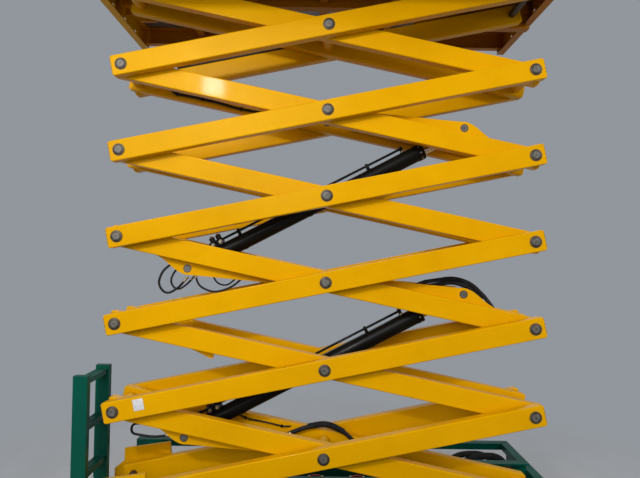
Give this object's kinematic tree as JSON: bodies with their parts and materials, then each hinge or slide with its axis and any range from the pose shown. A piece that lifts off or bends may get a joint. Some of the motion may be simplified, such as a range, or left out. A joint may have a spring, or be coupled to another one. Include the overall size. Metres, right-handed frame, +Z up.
{
  "type": "electric slab scissor lift",
  "caption": "Self-propelled scissor lift: crossed arm stack with lift cylinders on a wheeled chassis, railed platform with gate and roll-out deck.",
  "frame": {"origin": "on the ground under the middle of the whole machine", "axes": "+X away from the ladder along the machine, +Y to its left, +Z up"},
  "size_m": [2.845, 1.6, 4.7788],
  "materials": {
    "arm_yellow": "gloss yellow paint",
    "platform_yellow": "gloss yellow paint",
    "chassis_green": "semi-gloss dark green paint",
    "black_paint": "gloss black paint",
    "chromed_rod": "hard chrome",
    "pin_steel": "dull zinc plated",
    "component_grey": "dark moulded cases",
    "tyre_rubber": "non-marking rubber",
    "wheel_paint": "satin grey paint",
    "hose_rubber": "black hose covers",
    "deck_plate": "tread plate"
  },
  "bodies": {
    "chassis": {"chassis_frame": "chassis_green", "base_plates": "arm_yellow", "hoses_chassis": "hose_rubber", "axles": "chassis_green", "batteries": "component_grey", "power_unit": "component_grey", "ladder": "chassis_green"},
    "platform": {"platform_frame": "platform_yellow", "platform_floor": "deck_plate", "platform_pin": "pin_steel", "guard_rails": "platform_yellow"},
    "gate": {"gate": "platform_yellow"},
    "extension": {"extension_floor": "deck_plate", "extension_rails": "platform_yellow", "control_box": "component_grey"},
    "door_left": {"door_left": "chassis_green"},
    "door_right": {"door_right": "chassis_green"},
    "knuckle_left": {"knuckle_left": "chassis_green"},
    "knuckle_right": {"knuckle_right": "chassis_green"},
    "tie_rod": {"tie_rod": "pin_steel"},
    "outer_1": {"outer_arms_1": "arm_yellow", "outer_pins_1": "pin_steel"},
    "inner_1": {"inner_arms_1": "arm_yellow", "hoses_inner_1": "hose_rubber", "base_rollers": "pin_steel", "cylinder_brackets_1": "arm_yellow", "cylinder_pin_1": "pin_steel"},
    "outer_2": {"outer_arms_2": "arm_yellow", "outer_pins_2": "pin_steel"},
    "inner_2": {"inner_arms_2": "arm_yellow"},
    "outer_3": {"outer_arms_3": "arm_yellow", "outer_pins_3": "pin_steel"},
    "inner_3": {"inner_arms_3": "arm_yellow", "hoses_inner_3": "hose_rubber", "cylinder_brackets_3": "arm_yellow", "cylinder_pin_2": "pin_steel", "rod_pin_caps_1": "pin_steel"},
    "outer_4": {"outer_arms_4": "arm_yellow", "outer_pins_4": "pin_steel"},
    "inner_4": {"inner_arms_4": "arm_yellow"},
    "outer_5": {"outer_arms_5": "arm_yellow", "outer_pins_5": "pin_steel"},
    "inner_5": {"inner_arms_5": "arm_yellow", "cylinder_brackets_5": "arm_yellow", "rod_pin_caps_2": "pin_steel"},
    "outer_6": {"outer_arms_6": "arm_yellow", "outer_pins_6": "pin_steel"},
    "inner_6": {"inner_arms_6": "arm_yellow"},
    "barrel_1": {"cylinder_barrel_1": "black_paint"},
    "rod_1": {"cylinder_rod_1": "chromed_rod"},
    "barrel_2": {"cylinder_barrel_2": "black_paint"},
    "rod_2": {"cylinder_rod_2": "chromed_rod"},
    "wheel_rear_left": {"tyre_rear_left": "tyre_rubber", "wheel_rear_left": "wheel_paint"},
    "wheel_rear_right": {"tyre_rear_right": "tyre_rubber", "wheel_rear_right": "wheel_paint"},
    "wheel_front_left": {"tyre_front_left": "tyre_rubber", "wheel_front_left": "wheel_paint"},
    "wheel_front_right": {"tyre_front_right": "tyre_rubber", "wheel_front_right": "wheel_paint"}
  },
  "joints": [
    {"name": "fold", "type": "hinge", "parent": "chassis", "child": "outer_1", "pos_m": [-1.17448, 0, 0.55], "axis": [0, -1, 0], "range_deg": [-8.5, 28.2]},
    {"name": "cross_1", "type": "hinge", "parent": "outer_1", "child": "inner_1", "pos_m": [0.02, 0, 0.79823], "axis": [0, -1, 0], "range_deg": [-56.4, 17]},
    {"name": "stack_2", "type": "hinge", "parent": "inner_1", "child": "outer_2", "pos_m": [-1.17448, 0, 1.04647], "axis": [0, -1, 0], "range_deg": [-17, 56.4]},
    {"name": "cross_2", "type": "hinge", "parent": "outer_2", "child": "inner_2", "pos_m": [0.02, 0, 1.2947], "axis": [0, -1, 0], "range_deg": [-56.4, 17]},
    {"name": "stack_3", "type": "hinge", "parent": "inner_2", "child": "outer_3", "pos_m": [-1.17448, 0, 1.54294], "axis": [0, -1, 0], "range_deg": [-17, 56.4]},
    {"name": "cross_3", "type": "hinge", "parent": "outer_3", "child": "inner_3", "pos_m": [0.02, 0, 1.79117], "axis": [0, -1, 0], "range_deg": [-56.4, 17]},
    {"name": "stack_4", "type": "hinge", "parent": "inner_3", "child": "outer_4", "pos_m": [-1.17448, 0, 2.03941], "axis": [0, -1, 0], "range_deg": [-17, 56.4]},
    {"name": "cross_4", "type": "hinge", "parent": "outer_4", "child": "inner_4", "pos_m": [0.02, 0, 2.28764], "axis": [0, -1, 0], "range_deg": [-56.4, 17]},
    {"name": "stack_5", "type": "hinge", "parent": "inner_4", "child": "outer_5", "pos_m": [-1.17448, 0, 2.53588], "axis": [0, -1, 0], "range_deg": [-17, 56.4]},
    {"name": "cross_5", "type": "hinge", "parent": "outer_5", "child": "inner_5", "pos_m": [0.02, 0, 2.78411], "axis": [0, -1, 0], "range_deg": [-56.4, 17]},
    {"name": "stack_6", "type": "hinge", "parent": "inner_5", "child": "outer_6", "pos_m": [-1.17448, 0, 3.03234], "axis": [0, -1, 0], "range_deg": [-17, 56.4]},
    {"name": "cross_6", "type": "hinge", "parent": "outer_6", "child": "inner_6", "pos_m": [0.02, 0, 3.28058], "axis": [0, -1, 0], "range_deg": [-56.4, 17]},
    {"name": "platform_level", "type": "hinge", "parent": "inner_6", "child": "platform", "pos_m": [-1.17448, 0, 3.52881], "axis": [0, -1, 0], "range_deg": [-8.5, 28.2]},
    {"name": "cylinder_1_swing", "type": "hinge", "parent": "inner_1", "child": "barrel_1", "pos_m": [-0.79968, 0, 0.8644], "axis": [0, -1, 0], "range_deg": [-18.37, 60.92]},
    {"name": "cylinder_1_stroke", "type": "slide", "parent": "barrel_1", "child": "rod_1", "axis": [0.8854, 0, 0.4648], "range_m": [-0.213, 0.7055]},
    {"name": "cylinder_2_swing", "type": "hinge", "parent": "inner_3", "child": "barrel_2", "pos_m": [-0.79968, 0, 1.85734], "axis": [0, -1, 0], "range_deg": [-18.37, 60.92]},
    {"name": "cylinder_2_stroke", "type": "slide", "parent": "barrel_2", "child": "rod_2", "axis": [0.8854, 0, 0.4648], "range_m": [-0.213, 0.7055]},
    {"name": "steering", "type": "hinge", "parent": "chassis", "child": "knuckle_left", "pos_m": [1.045, 0.6, 0.203], "axis": [0, 0, 1], "range_deg": [-38, 38]},
    {"name": "steering_right", "type": "hinge", "parent": "chassis", "child": "knuckle_right", "pos_m": [1.045, -0.6, 0.203], "axis": [0, 0, 1], "range_deg": [-38, 38]},
    {"name": "tie_rod_pin", "type": "hinge", "parent": "knuckle_left", "child": "tie_rod", "pos_m": [0.895, 0.6, 0.203], "axis": [0, 0, 1], "range_deg": [-38, 38]},
    {"name": "roll_rear_left", "type": "hinge", "parent": "chassis", "child": "wheel_rear_left", "pos_m": [-1.005, 0.7285, 0.203], "axis": [0, 1, 0], "continuous": true},
    {"name": "roll_rear_right", "type": "hinge", "parent": "chassis", "child": "wheel_rear_right", "pos_m": [-1.005, -0.7285, 0.203], "axis": [0, 1, 0], "continuous": true},
    {"name": "roll_front_left", "type": "hinge", "parent": "knuckle_left", "child": "wheel_front_left", "pos_m": [1.045, 0.7285, 0.203], "axis": [0, 1, 0], "continuous": true},
    {"name": "roll_front_right", "type": "hinge", "parent": "knuckle_right", "child": "wheel_front_right", "pos_m": [1.045, -0.7285, 0.203], "axis": [0, 1, 0], "continuous": true},
    {"name": "gate_swing", "type": "hinge", "parent": "platform", "child": "gate", "pos_m": [-1.38948, 0.258, 4.17881], "axis": [0, 0, 1], "range_deg": [0, 95]},
    {"name": "door_left_swing", "type": "hinge", "parent": "chassis", "child": "door_left", "pos_m": [-0.682, 0.784, 0.3], "axis": [0, 0, 1], "range_deg": [0, 110]},
    {"name": "door_right_swing", "type": "hinge", "parent": "chassis", "child": "door_right", "pos_m": [-0.682, -0.784, 0.3], "axis": [0, 0, -1], "range_deg": [0, 110]},
    {"name": "extension_slide", "type": "slide", "parent": "platform", "child": "extension", "axis": [1, 0, 0], "range_m": [0, 0.9]}
  ],
  "couplings": [
    {"joint": "cross_1", "follows": "fold", "ratio": -2},
    {"joint": "stack_2", "follows": "fold", "ratio": 2},
    {"joint": "cross_2", "follows": "fold", "ratio": -2},
    {"joint": "stack_3", "follows": "fold", "ratio": 2},
    {"joint": "cross_3", "follows": "fold", "ratio": -2},
    {"joint": "stack_4", "follows": "fold", "ratio": 2},
    {"joint": "cross_4", "follows": "fold", "ratio": -2},
    {"joint": "stack_5", "follows": "fold", "ratio": 2},
    {"joint": "cross_5", "follows": "fold", "ratio": -2},
    {"joint": "stack_6", "follows": "fold", "ratio": 2},
    {"joint": "cross_6", "follows": "fold", "ratio": -2},
    {"joint": "platform_level", "follows": "fold", "ratio": 1},
    {"joint": "cylinder_1_swing", "follows": "fold", "ratio": 2.16},
    {"joint": "cylinder_1_stroke", "follows": "fold", "m_per_rad": 1.4324},
    {"joint": "cylinder_2_swing", "follows": "fold", "ratio": 2.16},
    {"joint": "cylinder_2_stroke", "follows": "fold", "m_per_rad": 1.4324},
    {"joint": "steering_right", "follows": "steering", "ratio": 1},
    {"joint": "tie_rod_pin", "follows": "steering", "ratio": -1}
  ]
}
